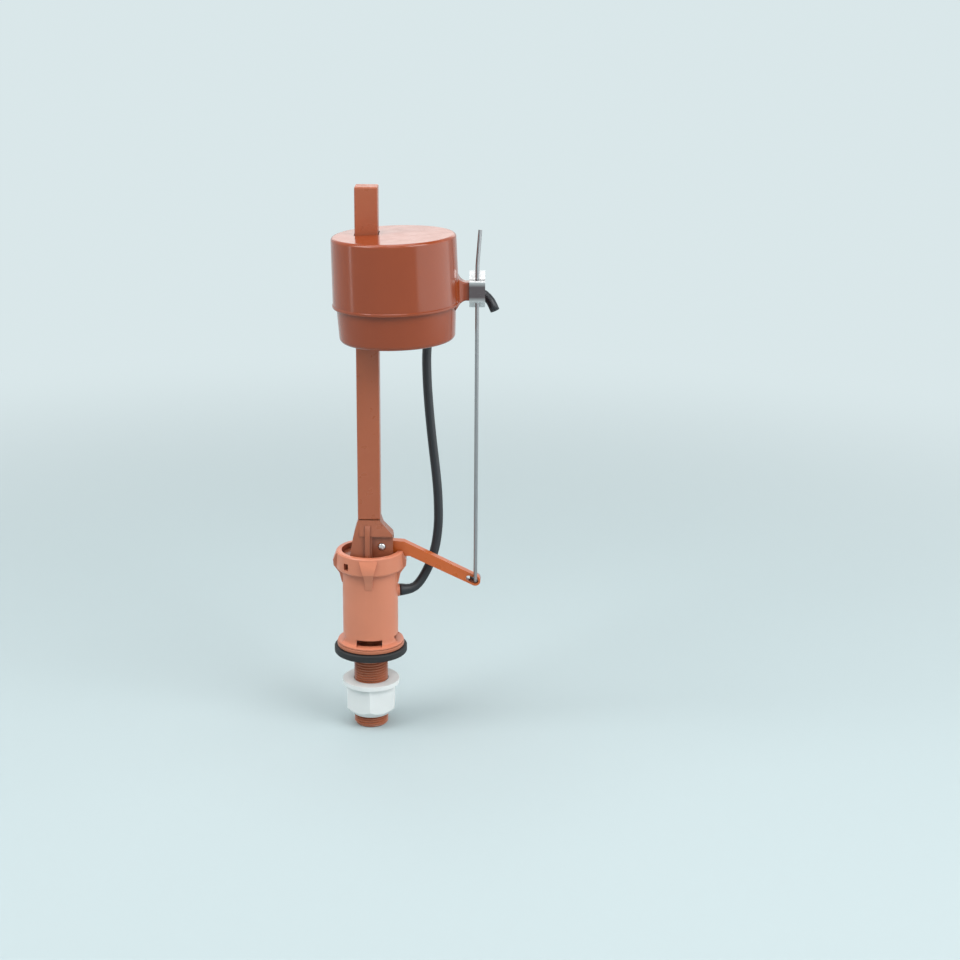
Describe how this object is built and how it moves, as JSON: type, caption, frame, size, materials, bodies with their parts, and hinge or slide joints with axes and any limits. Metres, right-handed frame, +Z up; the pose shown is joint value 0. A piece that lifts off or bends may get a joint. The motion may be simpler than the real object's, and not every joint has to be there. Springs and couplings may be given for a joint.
{
  "type": "toilet fill valve",
  "caption": "Toilet fill valve: threaded shank, splash shroud and valve head under a square mast, with a sliding float whose lift rod works a pivoted lever and a plunger.",
  "frame": {"origin": "centre of the gasket's underside, on the tank floor and on the shank's axis", "axes": "+Z up the shank and the mast, +X from the mast to the lift rod, -Y to the front of the picture"},
  "size_m": [0.1062, 0.0876, 0.356],
  "materials": {
    "body_plastic": "glossy terracotta moulding",
    "shroud_plastic": "glossy salmon terracotta moulding",
    "head_plastic": "darker terracotta moulding",
    "mast_plastic": "glossy terracotta moulding",
    "lever_plastic": "orange moulding",
    "float_plastic": "high gloss terracotta moulding",
    "white_plastic": "satin white moulding",
    "black_rubber": "matt black rubber",
    "hose_rubber": "satin black tubing",
    "steel": "drawn steel wire and spring strip",
    "seat_brass": "turned brass"
  },
  "bodies": {
    "valve_body": {"shank_body": "body_plastic", "shank_gasket": "black_rubber", "lock_nut": "white_plastic", "inlet_screen": "white_plastic", "seat_ring": "seat_brass", "splash_shroud": "shroud_plastic", "valve_head": "head_plastic", "head_oring": "black_rubber", "mast": "mast_plastic", "pivot_pin": "steel", "pin_clip": "steel", "refill_hose": "hose_rubber"},
    "lever": {"lever": "lever_plastic"},
    "lift_rod": {"link_rod": "steel", "rod_keeper": "steel"},
    "float": {"float_cap": "float_plastic", "float_cup": "float_plastic", "adjust_clip": "steel"},
    "plunger": {"plunger": "white_plastic", "seat_washer": "black_rubber", "plunger_oring": "black_rubber"}
  },
  "joints": [
    {"name": "rod_lift", "type": "slide", "parent": "valve_body", "child": "lift_rod", "axis": [0, 0, 1], "range_m": [0, 0.0202]},
    {"name": "lever_swing", "type": "hinge", "parent": "valve_body", "child": "lever", "pos_m": [0.0081, 0, 0.0747], "axis": [0, -1, 0], "range_deg": [0, 18]},
    {"name": "plunger_travel", "type": "slide", "parent": "valve_body", "child": "plunger", "axis": [0, 0, 1], "range_m": [-0.0029, 0]},
    {"name": "water_level_adjust", "type": "slide", "parent": "lift_rod", "child": "float", "axis": [0, 0, 1], "range_m": [-0.03, 0.008]}
  ],
  "couplings": [
    {"joint": "lever_swing", "follows": "rod_lift", "rad_per_m": 15.53},
    {"joint": "plunger_travel", "follows": "rod_lift", "ratio": -0.1435}
  ]
}
